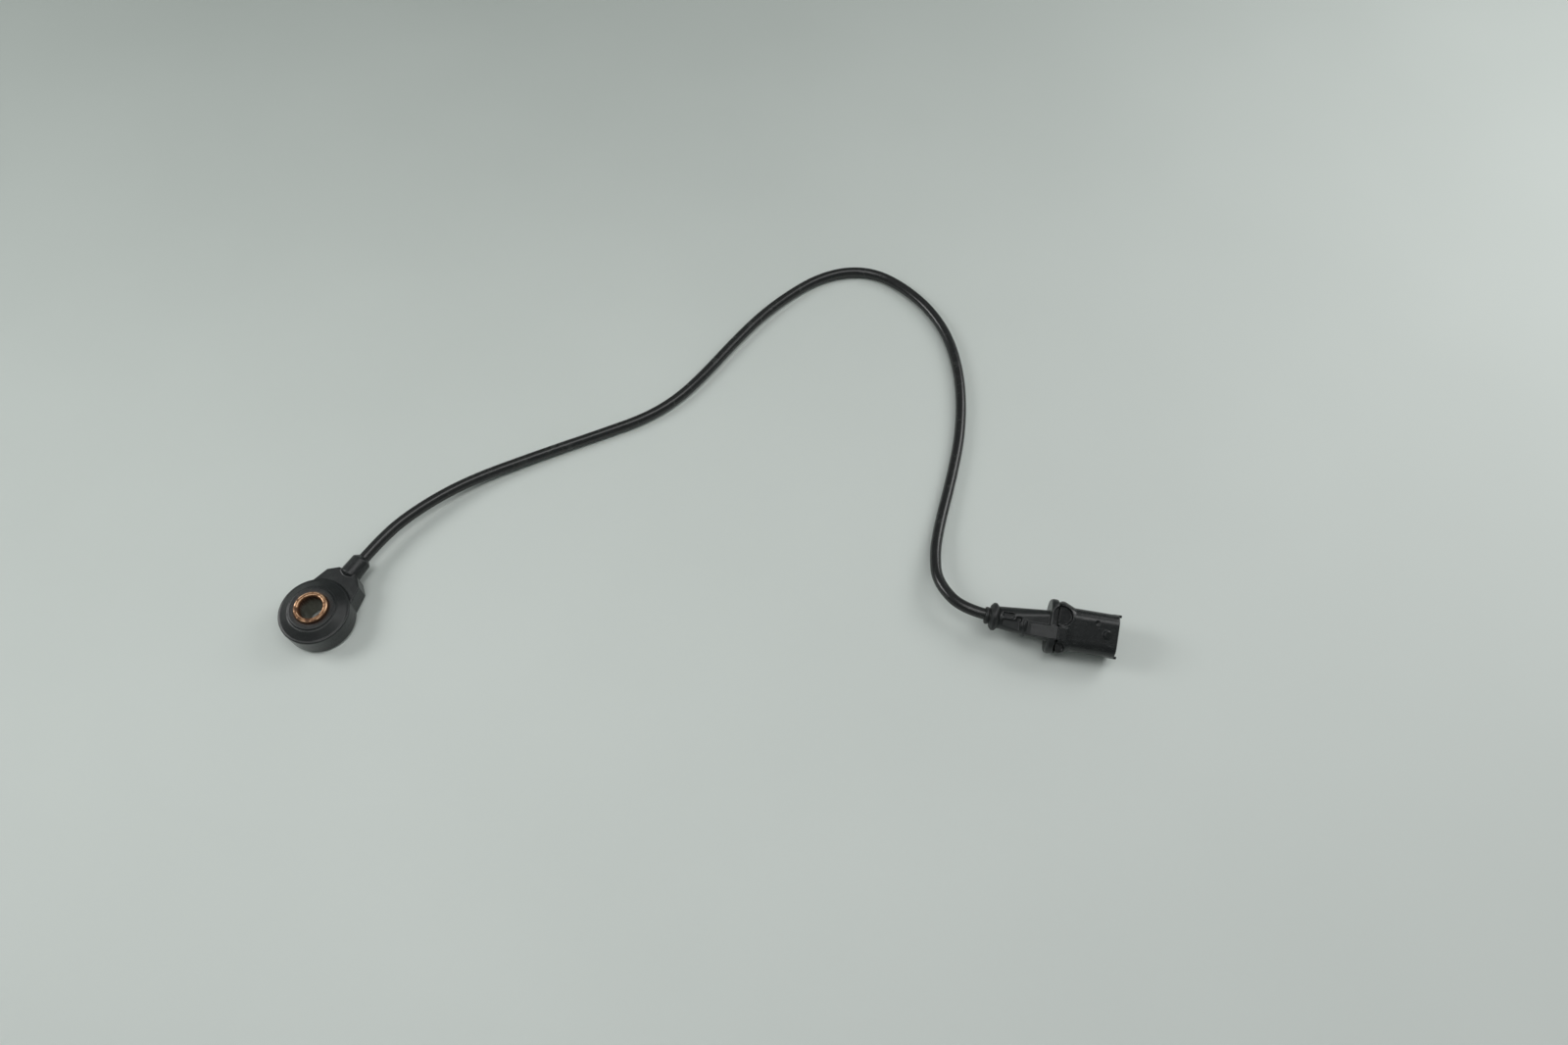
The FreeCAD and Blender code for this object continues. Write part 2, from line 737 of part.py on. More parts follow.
pieces = {}
pieces["mounting_sleeve"] = make_sleeve()
liner_l = z_mass - z_washer_low - liner_relief
pieces["insulating_liner"] = ring(liner_out_r, liner_in_r, z_washer_low, liner_l)
pieces["insulating_washer_lower"] = ring(washer_d / 2, stack_hole_r, z_washer_low, washer_t)
pieces["contact_disc_lower"] = make_contact(z_contact_low, -1)
pieces["piezo_ring"] = ring(piezo_d / 2, stack_hole_r, z_piezo, piezo_t)
pieces["contact_disc_upper"] = make_contact(z_contact_high, 1)
pieces["insulating_washer_upper"] = ring(washer_d / 2, stack_hole_r, z_washer_high, washer_t)
pieces["seismic_mass"] = make_mass()
pieces["disc_spring"] = make_spring()
pieces["retaining_nut"] = make_nut()

jacket, jacket_length, bends = cord(route, cable_r)
pieces["cable_jacket"] = jacket

inside_head = [pieces["mounting_sleeve"], pieces["contact_disc_lower"], pieces["contact_disc_upper"]]
for name, side in (("a", -1), ("b", 1)):
    pieces["splice_" + name] = make_splice(side)
    pieces["head_core_" + name] = head_core(side)
    pieces["head_wire_" + name] = head_wire(side)
    inside_head += [pieces["splice_" + name], pieces["head_core_" + name], pieces["head_wire_" + name]]
    low = tab_z - contact_t / 2
    x0, x1 = splice_span()
    y = side * tab_pitch / 2
    inside_head.append(block(x0, x1, y - wire_d / 2, y + wire_d / 2, low, neck_z))
inside_head.append(rod(cable_r, V(jacket_start_x, 0, neck_z), jacket_insert))
pieces["sensor_housing"] = make_housing(inside_head)

grip = make_grip()
shroud = make_shroud()
inside_plug = [
    rod(grip_stem_d / 2, V(s_grip_end, 0, 0), grip_stem_l),
    rounded_bar(s_carrier, s_seam, carrier_w, carrier_h, carrier_round),
]
for name, side in (("a", -1), ("b", 1)):
    terminal = make_terminal(side)
    core = plug_core(side)
    wire = plug_wire(side)
    barrel_room = rod(wire_d / 2 + crimp_wall, V(s_crimp, side * pin_pitch / 2, 0), crimp_l)
    inside_plug += [terminal, core, wire, barrel_room]
    pieces["terminal_pin_" + name] = in_plug(terminal)
    pieces["plug_core_" + name] = in_plug(core)
    pieces["plug_wire_" + name] = in_plug(wire)
inside_plug.append(rod(cable_r, V(0, 0, 0), s_jacket_end))
pieces["plug_rear_body"] = in_plug(make_rear(inside_plug))
pieces["plug_grip"] = in_plug(grip)
pieces["plug_shroud"] = in_plug(shroud)

os.makedirs("parts", exist_ok=True)
for name, solid in pieces.items():
    count = len(solid.Solids)
    if count != 1 or not solid.isValid():
        print("look at", name, "solids", count, "valid", solid.isValid())
    solid.Solids[0].exportStep("parts/" + name + ".step")

volume = pieces["cable_jacket"].Volume
print("cable length %.1f" % jacket_length, "volume / (section x length) %.4f"
      % (volume / (math.pi * cable_r ** 2 * jacket_length)))
print("bend radii", " ".join("%.0f" % r for r in bends))
print("plug level %.2f" % plug_z)
print("sleeve height %.2f" % z_sleeve_top, "neck level %.2f" % neck_z, "neck end %.2f" % neck_end_x)
print("plug mouth at", in_plug(Part.Vertex(s_mouth, 0, 0)).Point)
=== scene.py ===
"""Knock sensor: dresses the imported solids, lays the cable, and sets the light and the camera."""

import logging
import math
from dataclasses import dataclass
from enum import Enum
from typing import Any, Dict, List, Optional, Sequence, Tuple, Union

import bmesh
import bpy
from mathutils import Euler, Matrix, Vector


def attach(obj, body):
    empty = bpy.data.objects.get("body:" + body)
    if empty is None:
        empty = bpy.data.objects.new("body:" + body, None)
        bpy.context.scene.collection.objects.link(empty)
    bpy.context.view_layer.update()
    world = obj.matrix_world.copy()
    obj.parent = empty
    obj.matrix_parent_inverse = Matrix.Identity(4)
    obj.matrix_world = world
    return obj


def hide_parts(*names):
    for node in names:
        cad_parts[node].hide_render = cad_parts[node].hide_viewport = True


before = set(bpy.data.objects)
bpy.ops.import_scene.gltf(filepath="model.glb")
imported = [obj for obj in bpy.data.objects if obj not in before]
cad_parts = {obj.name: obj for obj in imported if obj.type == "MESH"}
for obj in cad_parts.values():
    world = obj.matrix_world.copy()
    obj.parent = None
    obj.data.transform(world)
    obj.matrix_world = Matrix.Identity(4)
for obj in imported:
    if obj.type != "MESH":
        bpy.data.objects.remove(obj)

LOG = logging.getLogger("knock_sensor")
MM = 0.001
Colour = Tuple[float, float, float]
Point = Tuple[float, float, float]
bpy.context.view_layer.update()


class Pass(Enum):
    """How softly the edges of a moulding are rounded, as rounds of smoothing."""

    CRISP = 2
    MOULDED = 3


class Value:
    """A number in a node tree. Arithmetic on it adds the Math nodes."""

    def __init__(self, shader: "Shader", socket: bpy.types.NodeSocket) -> None:
        """Wraps an output socket of a shader's tree."""
        self.shader = shader
        self.socket = socket

    def math(self, operation: str, *others: Union[float, "Value"], clamp: bool = False) -> "Value":
        """Adds one Math node.

        Args:
            operation: Blender's name of the operation.
            others: The second and third operands, where the operation has them.
            clamp: Whether the result is kept between 0 and 1.

        Returns:
            The node's result.
        """
        return self.shader.math(operation, self, *others, clamp=clamp)

    def __add__(self, other: Union[float, "Value"]) -> "Value":
        """Sum."""
        return self.math("ADD", other)

    def __radd__(self, other: float) -> "Value":
        """Sum with a plain number on the left."""
        return self.math("ADD", other)

    def __sub__(self, other: Union[float, "Value"]) -> "Value":
        """Difference."""
        return self.math("SUBTRACT", other)

    def __rsub__(self, other: float) -> "Value":
        """Difference from a plain number."""
        return self.shader.math("SUBTRACT", other, self)

    def __mul__(self, other: Union[float, "Value"]) -> "Value":
        """Product."""
        return self.math("MULTIPLY", other)

    def __rmul__(self, other: float) -> "Value":
        """Product with a plain number on the left."""
        return self.math("MULTIPLY", other)

    def __pow__(self, other: Union[float, "Value"]) -> "Value":
        """Power."""
        return self.math("POWER", other)

    def __abs__(self) -> "Value":
        """Distance from zero."""
        return self.math("ABSOLUTE")

    def clamped(self) -> "Value":
        """The value kept between 0 and 1."""
        return self.math("ADD", 0.0, clamp=True)

    def step(self, low: float, high: float) -> "Value":
        """A soft step.

        Args:
            low: Where the step starts, at 0.
            high: Where it ends, at 1.

        Returns:
            A value from 0 to 1.
        """
        inputs = {"Value": self, "From Min": low, "From Max": high, "To Min": 0.0, "To Max": 1.0}
        node = self.shader.add("ShaderNodeMapRange", {"interpolation_type": "SMOOTHSTEP"}, inputs)
        return Value(self.shader, node.outputs[0])

    def band(self, centre: float, half: float, soft: float) -> "Value":
        """A stripe of values round a centre, at 1 inside and 0 outside."""
        return 1.0 - abs(self - centre).step(half, half + soft)


class Shader:
    """A material's node tree with one Principled shader."""

    def __init__(self, name: str) -> None:
        """Starts an empty tree with the shader joined to the output."""
        self.material = bpy.data.materials.new(name)
        self.material.use_nodes = True
        self.tree = self.material.node_tree
        self.tree.nodes.clear()
        self.surface = self.add("ShaderNodeBsdfPrincipled")
        output = self.add("ShaderNodeOutputMaterial")
        self.tree.links.new(self.surface.outputs[0], output.inputs[0])
        self.place = self.add("ShaderNodeTexCoord").outputs["Object"]

    def add(self, kind: str, settings: Optional[Dict[str, Any]] = None,
            inputs: Optional[Dict[Union[str, int], Any]] = None) -> bpy.types.Node:
        """Adds any node.

        Args:
            kind: The node's type.
            settings: Its own settings, by attribute.
            inputs: A value, a Value or a socket for each named or numbered input.

        Returns:
            The node.
        """
        node = self.tree.nodes.new(kind)
        for key, setting in (settings or {}).items():
            setattr(node, key, setting)
        for key, item in (inputs or {}).items():
            source = item.socket if isinstance(item, Value) else item
            if isinstance(source, bpy.types.NodeSocket):
                self.tree.links.new(source, node.inputs[key])
            else:
                node.inputs[key].default_value = source
        return node

    def math(self, operation: str, *operands: Union[float, Value], clamp: bool = False) -> Value:
        """Adds a Math node on numbers and Values."""
        settings = {"operation": operation, "use_clamp": clamp}
        return Value(self, self.add("ShaderNodeMath", settings, dict(enumerate(operands))).outputs[0])

    def turned_place(self, centre: Point, turn: Euler) -> bpy.types.NodeSocket:
        """Object coordinates about a centre, seen along a piece's own axes.

        Args:
            centre: The new origin, in metres.
            turn: How the piece's axes are turned against the row's.

        Returns:
            The turned vector.
        """
        inputs = {"Vector": self.place, "Location": centre, "Rotation": turn}
        return self.add("ShaderNodeMapping", {"vector_type": "TEXTURE"}, inputs).outputs[0]

    def stretched(self, vector: bpy.types.NodeSocket, scale: Point) -> bpy.types.NodeSocket:
        """A vector with each axis scaled, for streaks and scratches."""
        settings = {"operation": "MULTIPLY"}
        return self.add("ShaderNodeVectorMath", settings, {0: vector, 1: scale}).outputs[0]

    def parts(self, vector: bpy.types.NodeSocket) -> List[Value]:
        """The three numbers of a vector."""
        node = self.add("ShaderNodeSeparateXYZ", None, {0: vector})
        return [Value(self, socket) for socket in node.outputs]

    def noise(self, scale: float, detail: float = 3.0, rough: float = 0.55,
              at: Optional[bpy.types.NodeSocket] = None, warp: float = 0.0) -> Value:
        """Cloudy noise.

        Args:
            scale: Features per metre.
            detail: Octaves.
            rough: Strength of the finer octaves.
            at: The vector it reads, the object's own coordinates by default.
            warp: How far it is drawn out of shape.

        Returns:
            A value about 0.5.
        """
        inputs = {"Vector": at or self.place, "Scale": scale, "Detail": detail, "Roughness": rough,
                  "Distortion": warp}
        return Value(self, self.add("ShaderNodeTexNoise", None, inputs).outputs[0])

    def specks(self, scale: float, size: float, at: Optional[bpy.types.NodeSocket] = None) -> Value:
        """Scattered round specks, at 1 in each speck's middle."""
        node = self.add("ShaderNodeTexVoronoi", None, {"Vector": at or self.place, "Scale": scale})
        return 1.0 - Value(self, node.outputs["Distance"]).step(size * 0.4, size)

    def upward(self) -> Value:
        """How far a surface faces up."""
        return self.parts(self.add("ShaderNodeNewGeometry").outputs["Normal"])[2]

    def edges(self, low: float, high: float) -> Value:
        """Rubbed outer edges, from the mesh's own sharpness."""
        sharp = Value(self, self.add("ShaderNodeNewGeometry").outputs["Pointiness"])
        return sharp.step(low, high)

    def mix(self, share: Union[float, Value], first: Any, second: Any) -> bpy.types.NodeSocket:
        """Mixes two colours.

        Args:
            share: How much of the second there is.
            first: A colour or a socket.
            second: A colour or a socket.

        Returns:
            The mixed colour's socket.
        """
        tint = [(*c, 1.0) if isinstance(c, tuple) else c for c in (first, second)]
        settings = {"data_type": "RGBA", "clamp_factor": True}
        return self.add("ShaderNodeMix", settings, {0: share, 6: tint[0], 7: tint[1]}).outputs[2]

    def bump(self, height: Value, depth: float, below: Optional[bpy.types.NodeSocket] = None
             ) -> bpy.types.NodeSocket:
        """Raises a height pattern on the surface.

        Args:
            height: The pattern.
            depth: Its depth in metres.
            below: A coarser bump that carries it.

        Returns:
            The normal's socket.
        """
        inputs = {"Height": height, "Distance": depth, "Strength": 1.0}
        if below is not None:
            inputs["Normal"] = below
        return self.add("ShaderNodeBump", None, inputs).outputs[0]

    def finish(self, colour: Any, rough: Any, metal: Any = 0.0, normal: Any = None,
               **fixed: float) -> bpy.types.Material:
        """Joins the patterns to the shader.

        Args:
            colour: Base colour or its socket.
            rough: Roughness or its Value.
            metal: Metallic or its Value.
            normal: The bumped normal's socket, if there is one.
            fixed: Numbers for the shader's other sockets.

        Returns:
            The material.
        """
        wanted = {"Base Color": colour, "Roughness": rough, "Metallic": metal, "Normal": normal}
        for key, item in wanted.items():
            source = item.socket if isinstance(item, Value) else item
            if isinstance(source, bpy.types.NodeSocket):
                self.tree.links.new(source, self.surface.inputs[key])
            elif source is not None:
                self.surface.inputs[key].default_value = (*source, 1.0) if isinstance(source, tuple) else source
        for key, number in fixed.items():
            self.surface.inputs[key.replace("_", " ")].default_value = number
        return self.material


@dataclass(frozen=True)
class Stance:
    """Where a piece's own axes lie: its centre, and its turn against the row."""

    centre: Point = (0.0, 0.0, 0.0)
    turn: Tuple[float, float, float] = (0.0, 0.0, 0.0)

    def vector(self, shader: Shader) -> bpy.types.NodeSocket:
        """The coordinates along the piece's own axes."""
        return shader.turned_place(self.centre, Euler(self.turn))


@dataclass(frozen=True)
class MouldedPlastic:
    """Black filled plastic from a fine-textured mould, hazed with dust and rubbed on its edges.

    Rust bleeds over it out to stain_r, and faces that don't look up are smoother by polished.
    """

    name: str
    base: Colour = (0.0100, 0.0115, 0.0122)
    pale: Colour = (0.026, 0.031, 0.032)
    dust: Colour = (0.110, 0.125, 0.115)
    rough: float = 0.33
    dusty: float = 0.20
    polished: float = 0.0
    parting: float = 0.0
    stain: Colour = (0.085, 0.040, 0.021)
    stain_r: float = 0.0
    stance: Stance = Stance()

    def build(self) -> bpy.types.Material:
        """Makes the material."""
        s = Shader(self.name)
        place = self.stance.vector(s)
        x, y, z = s.parts(place)
        blotch = s.noise(150, 5, 0.62, place, 0.6)
        cloud = s.noise(620, 4, 0.6, place)
        grain = s.noise(7200, 2, 0.5, place)
        fibres = s.noise(1.0, 3, 0.6, s.stretched(place, (700, 5200, 2400)), 1.2)
        scratch = s.noise(1.0, 2, 0.5, s.stretched(place, (260, 9000, 4000)), 0.4).step(0.66, 0.72)
        rubbed = s.edges(0.53, 0.60) * cloud.step(0.35, 0.6)
        specks = s.specks(1150, 0.16, place) * blotch.step(0.42, 0.6)
        film = blotch.step(0.36, 0.68) * 0.7 + cloud.step(0.45, 0.8) * 0.5
        film = film * (s.upward().step(-0.2, 0.9) * 0.75 + 0.25)
        haze = (film * self.dusty + specks * 0.35).clamped()
        colour = s.mix(rubbed * 0.40, self.base, self.pale)
        colour = s.mix(haze, colour, self.dust)
        colour = s.mix(scratch * 0.30, colour, self.dust)
        rough = self.rough + haze * 0.35 - rubbed * 0.10 + (grain - 0.5) * 0.12 + scratch * 0.1
        rough = rough - (1.0 - s.upward().step(0.0, 0.5)) * self.polished
        if self.stain_r > 0:
            reach = (x * x + y * y) ** 0.5 + (cloud - 0.5) * 0.0035
            bled = (1.0 - reach.step(self.stain_r * 0.72, self.stain_r)) * s.upward().step(0.0, 0.4)
            bled = bled * cloud.step(0.30, 0.56)
            colour = s.mix(bled * 0.60, colour, self.stain)
            rough = rough + bled * 0.25
        height = grain * 0.55 + fibres * 0.45
        if self.parting > 0:
            height = height + z.band(self.parting, 0.00006, 0.00006) * 2.2
        below = s.bump(blotch + cloud * 0.4, 0.00010)
        normal = s.bump(height - scratch * 1.2, 0.000018, below)
        return s.finish(colour, rough.clamped(), 0.0, normal, IOR=1.50)


@dataclass(frozen=True)
class RustedSleeve:
    """Turned steel under a copper-brown rust film, rubbed bright where the bolt sat, plainer down the bore; two
    thin bright rings at the top face's edges are painted highlights.
    """

    name: str
    bright: Colour = (0.66, 0.42, 0.26)
    film: Colour = (0.17, 0.074, 0.032)
    scale: Colour = (0.060, 0.024, 0.011)
    plain: Colour = (0.300, 0.300, 0.255)
    top: float = 0.0128
    bore_r: float = 0.0042
    rust_from: float = 0.0080
    rust_full: float = 0.0122
    rim_in: float = 0.00478
    rim_out: float = 0.00562

    def build(self) -> bpy.types.Material:
        """Makes the material."""
        s = Shader(self.name)
        x, y, z = s.parts(s.place)
        reach = (x * x + y * y) ** 0.5
        patch = s.noise(520, 5, 0.62)
        fine = s.noise(2600, 4, 0.65)
        pits = s.specks(1700, 0.24)
        streak = s.noise(1.0, 3, 0.6, s.stretched(s.place, (1500, 1500, 180)))
        face = z.step(self.top - 0.0007, self.top - 0.0001)
        # Painted highlight: two thin rings of bright metal colour along the top face's inner and outer edges.
        painted_rim_highlights = reach.band(self.rim_in, 0.00010, 0.00022) + reach.band(self.rim_out, 0.00016, 0.00028)
        worn = patch.step(0.43, 0.58) * 0.85 + 0.15
        # This rubbed mask holds real rubbed wear on the top face together with the painted rim highlights.
        rubbed = (face * (painted_rim_highlights * worn + fine.step(0.50, 0.68) * 0.45 * worn)).clamped()
        bore = 1.0 - reach.step(self.bore_r + 0.00004, self.bore_r + 0.0002)
        clean = 1.0 - (z + (streak - 0.5) * 0.003).step(self.rust_from, self.rust_full)
        deep = (bore * clean).clamped()
        crust = ((1.0 - face) * (streak.step(0.36, 0.60) * 0.7 + 0.3) + (1.0 - patch.step(0.38, 0.52)) * 0.80
                 + pits * 0.45).clamped() * (1.0 - rubbed * 0.7) * (1.0 - deep * 0.75)
        colour = s.mix(rubbed, self.film, self.bright)
        colour = s.mix(deep, colour, self.plain)
        colour = s.mix(crust, colour, self.scale)
        metal = (0.92 - crust * 0.8).clamped()
        rough = 0.38 + crust * 0.40 - rubbed * 0.06 - deep * 0.08 + (fine - 0.5) * 0.22
        feed = (reach * 52000.0).math("SINE") * face + (z * 42000.0).math("SINE") * (1.0 - face)
        below = s.bump(crust * 0.8 + patch * 0.4 - pits * 0.5, 0.00006)
        normal = s.bump(feed * 0.25 * (1.0 - crust * 0.8) + fine * 0.6, 0.000012, below)
        return s.finish(colour, rough.clamped(), metal, normal)


@dataclass(frozen=True)
class SatinSheath:
    """Extruded black sheath: satin, faintly wavy, with dust and rubbed places."""

    name: str
    base: Colour = (0.0170, 0.0180, 0.0180)
    dust: Colour = (0.100, 0.110, 0.100)
    rough: float = 0.24
    dusty: float = 0.13

    def build(self) -> bpy.types.Material:
        """Makes the material."""
        s = Shader(self.name)
        long_wave = s.noise(90, 3, 0.5)
        blotch = s.noise(320, 4, 0.6)
        fine = s.noise(3800, 3, 0.6)
        specks = s.specks(900, 0.13) * long_wave.step(0.40, 0.60)
        film = blotch.step(0.42, 0.75) * long_wave.step(0.35, 0.65) * (s.upward().step(-0.1, 0.9) * 0.7 + 0.3)
        haze = (film * self.dusty + specks * 0.30).clamped()
        scuff = s.noise(1400, 3, 0.6).step(0.62, 0.74) * 0.5
        colour = s.mix((haze + scuff * 0.12).clamped(), self.base, self.dust)
        rough = self.rough + haze * 0.35 + (blotch - 0.5) * 0.16 + scuff * 0.16
        below = s.bump(long_wave + blotch * 0.35, 0.00014)
        normal = s.bump(fine + scuff * 0.8, 0.000012, below)
        return s.finish(colour, rough.clamped(), 0.0, normal, IOR=1.52)


@dataclass(frozen=True)
class SoftRubber:
    """Moulded rubber of the strain relief: dull, with dust held in its surface."""

    name: str
    base: Colour = (0.0085, 0.0095, 0.0100)
    dust: Colour = (0.11, 0.12, 0.11)
    stance: Stance = Stance()

    def build(self) -> bpy.types.Material:
        """Makes the material."""
        s = Shader(self.name)
        place = self.stance.vector(s)
        cloud = s.noise(420, 5, 0.62, place)
        fine = s.noise(5200, 3, 0.6, place)
        crease = s.noise(1.0, 3, 0.6, s.stretched(place, (3200, 420, 420)), 0.8)
        haze = (cloud.step(0.42, 0.70) * 0.30 + s.specks(1500, 0.18, place) * 0.25).clamped()
        colour = s.mix(haze, self.base, self.dust)
        rough = 0.44 + haze * 0.3 + (fine - 0.5) * 0.15
        below = s.bump(cloud, 0.00008)
        normal = s.bump(crease * 0.7 + fine * 0.5, 0.00002, below)
        return s.finish(colour, rough.clamped(), 0.0, normal, IOR=1.50)


@dataclass(frozen=True)
class WorkedMetal:
    """Plain or plated metal: stamped, turned or drawn, with fine lines and a few dull stains."""

    name: str
    base: Colour
    stain: Colour
    rough: float = 0.28
    lines: Point = (300.0, 5200.0, 5200.0)
    stance: Stance = Stance()

    def build(self) -> bpy.types.Material:
        """Makes the material."""
        s = Shader(self.name)
        place = self.stance.vector(s)
        cloud = s.noise(500, 4, 0.6, place)
        drawn = s.noise(1.0, 3, 0.6, s.stretched(place, self.lines))
        stain = cloud.step(0.52, 0.72) * 0.6 + s.specks(1300, 0.14, place) * 0.4
        colour = s.mix(stain.clamped(), self.base, self.stain)
        rough = self.rough + stain * 0.2 + (drawn - 0.5) * 0.25
        normal = s.bump(drawn, 0.000006, s.bump(cloud, 0.00003))
        return s.finish(colour, rough.clamped(), 1.0, normal)


@dataclass(frozen=True)
class PlainInsulation:
    """Film, ceramic and core insulation inside the mouldings: matt, lightly mottled."""

    name: str
    base: Colour
    shade: Colour
    rough: float = 0.45
    grain: float = 5200.0

    def build(self) -> bpy.types.Material:
        """Makes the material."""
        s = Shader(self.name)
        cloud = s.noise(380, 4, 0.6)
        grain = s.noise(self.grain, 3, 0.6)
        colour = s.mix(cloud.step(0.35, 0.7) * 0.6 + grain.step(0.5, 0.8) * 0.2, self.base, self.shade)
        normal = s.bump(grain, 0.000010, s.bump(cloud, 0.00003))
        return s.finish(colour, (self.rough + (grain - 0.5) * 0.2).clamped(), 0.0, normal)


@dataclass(frozen=True)
class Crumb:
    """Loose crumbs: rust scale or grey road dust."""

    name: str
    base: Colour
    shade: Colour

    def build(self) -> bpy.types.Material:
        """Makes the material."""
        s = Shader(self.name)
        tone = s.noise(5200, 3, 0.6)
        colour = s.mix(tone.step(0.35, 0.65), self.base, self.shade)
        return s.finish(colour, (0.75 + (tone - 0.5) * 0.2).clamped(), 0.0, s.bump(tone, 0.00002))


@dataclass(frozen=True)
class Tabletop:
    """The pale surface that the sensor lies on, with painted light: its colour runs from a darker far side to a
    brighter near side.
    """

    name: str
    near: Colour = (0.885, 0.935, 0.903)
    far: Colour = (0.450, 0.497, 0.467)
    painted_light_toward: Point = (-0.513, -0.859, 0.0)
    slope_from: float = -0.531
    slope_to: float = 0.569

    def build(self) -> bpy.types.Material:
        """Makes the material."""
        s = Shader(self.name)
        settings = {"operation": "DOT_PRODUCT"}
        # Painted light: the table's colour grows from far to near along one direction, a light falloff painted
        # into the surface.
        slope = s.add("ShaderNodeVectorMath", settings, {0: s.place, 1: self.painted_light_toward}).outputs["Value"]
        share = Value(s, slope).step(self.slope_from, self.slope_to)
        cloud = s.noise(9, 2, 0.5)
        colour = s.mix((share + (cloud - 0.5) * 0.12).clamped(), self.far, self.near)
        return s.finish(colour, 0.75, 0.0, s.bump(s.noise(900, 2), 0.00001))


class Workshop:
    """Mesh making that the sub-assemblies share."""

    @staticmethod
    def new_object(name: str, data: Any) -> bpy.types.Object:
        """Links a new object with the given data."""
        made = bpy.data.objects.new(name, data)
        bpy.context.scene.collection.objects.link(made)
        return made

    @classmethod
    def settle(cls, source: bpy.types.Object, name: str) -> bpy.types.Object:
        """Turns an object with its modifiers into a plain mesh piece.

        Args:
            source: The object to evaluate. It is removed.
            name: The new piece's name.

        Returns:
            The plain piece, at the origin.
        """
        graph = bpy.context.evaluated_depsgraph_get()
        mesh = bpy.data.meshes.new_from_object(source.evaluated_get(graph))
        bpy.data.objects.remove(source)
        mesh.name = name
        return cls.new_object(name, mesh)

    @classmethod
    def soft_moulding(cls, node: str, name: str, voxel: float, rounding: Pass) -> bpy.types.Object:
        """A moulding with the small round edges that a mould gives.

        Args:
            node: The CAD node whose form it has.
            name: The new piece's name.
            voxel: Size of the mesh's faces, in metres.
            rounding: How softly its edges are rounded.

        Returns:
            The piece, smooth shaded.
        """
        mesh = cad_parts[node].data.copy()
        shell = bmesh.new()
        shell.from_mesh(mesh)
        bmesh.ops.remove_doubles(shell, verts=shell.verts, dist=1e-7)
        shell.to_mesh(mesh)
        shell.free()
        mesh.materials.clear()
        rough = cls.new_object(name + "_rough", mesh)
        grid = rough.modifiers.new("grid", "REMESH")
        grid.mode = "VOXEL"
        grid.voxel_size = voxel
        soft = rough.modifiers.new("soft", "SMOOTH")
        soft.factor = 0.5
        soft.iterations = rounding.value
        piece = cls.settle(rough, name)
        piece.data.polygons.foreach_set("use_smooth", [True] * len(piece.data.polygons))
        return piece

    @staticmethod
    def dress(piece: bpy.types.Object, material: bpy.types.Material) -> None:
        """Gives every slot of a piece one material."""
        if piece.data.materials:
            for index in range(len(piece.data.materials)):
                piece.data.materials[index] = material
        else:
            piece.data.materials.append(material)
        for slot in piece.material_slots:
            slot.material = material

    @staticmethod
    def report(piece: bpy.types.Object) -> None:
        """Logs a finished piece."""
        count = len(piece.data.polygons) if piece.type == "MESH" else 0
        LOG.info("%s: %d faces", piece.name, count)


class NodeTree:
    """A Geometry Nodes tree with named inputs that ends in Realize Instances and Set Material."""

    def __init__(self, name: str, numbers: Dict[str, str]) -> None:
        """Starts the tree.

        Args:
            name: The tree's name.
            numbers: Socket types by input name, after the geometry.
        """
        self.tree = bpy.data.node_groups.new(name, "GeometryNodeTree")
        face = self.tree.interface
        face.new_socket(name="Geometry", in_out="INPUT", socket_type="NodeSocketGeometry")
        for key, kind in numbers.items():
            face.new_socket(name=key, in_out="INPUT", socket_type=kind)
        face.new_socket(name="Material", in_out="INPUT", socket_type="NodeSocketMaterial")
        face.new_socket(name="Geometry", in_out="OUTPUT", socket_type="NodeSocketGeometry")
        self.entry = self.tree.nodes.new("NodeGroupInput")
        self.exit = self.tree.nodes.new("NodeGroupOutput")

    def given(self, name: str) -> bpy.types.NodeSocket:
        """The socket of a named input."""
        return self.entry.outputs[name]

    def add(self, kind: str, settings: Optional[Dict[str, Any]] = None,
            inputs: Optional[Dict[Union[str, int], Any]] = None) -> bpy.types.Node:
        """Adds a node with its settings and inputs."""
        node = self.tree.nodes.new(kind)
        for key, setting in (settings or {}).items():
            setattr(node, key, setting)
        for key, item in (inputs or {}).items():
            if isinstance(item, bpy.types.NodeSocket):
                self.tree.links.new(item, node.inputs[key])
            else:
                node.inputs[key].default_value = item
        return node

    def math(self, operation: str, *operands: Any) -> bpy.types.NodeSocket:
        """Adds a Math node."""
        return self.add("ShaderNodeMath", {"operation": operation}, dict(enumerate(operands))).outputs[0]

    def close(self, result: bpy.types.NodeSocket) -> None:
        """Ends the tree in Realize Instances and Set Material."""
        real = self.add("GeometryNodeRealizeInstances", None, {0: result}).outputs[0]
        dressed = self.add("GeometryNodeSetMaterial", None, {0: real, "Material": self.given("Material")})
        self.tree.links.new(dressed.outputs[0], self.exit.inputs[0])

    def run(self, base: bpy.types.Object, name: str, values: Dict[str, Any]) -> bpy.types.Object:
        """Runs the tree on an object and keeps the result as a plain mesh.

        Args:
            base: The object that the tree starts from. It is removed.
            name: The new piece's name.
            values: The inputs' values by name.

        Returns:
            The plain piece.
        """
        modifier = base.modifiers.new(name, "NODES")
        modifier.node_group = self.tree
        for item in self.tree.interface.items_tree:
            if item.in_out == "INPUT" and item.name in values:
                modifier[item.identifier] = values[item.name]
        base.update_tag()
        return Workshop.settle(base, name)


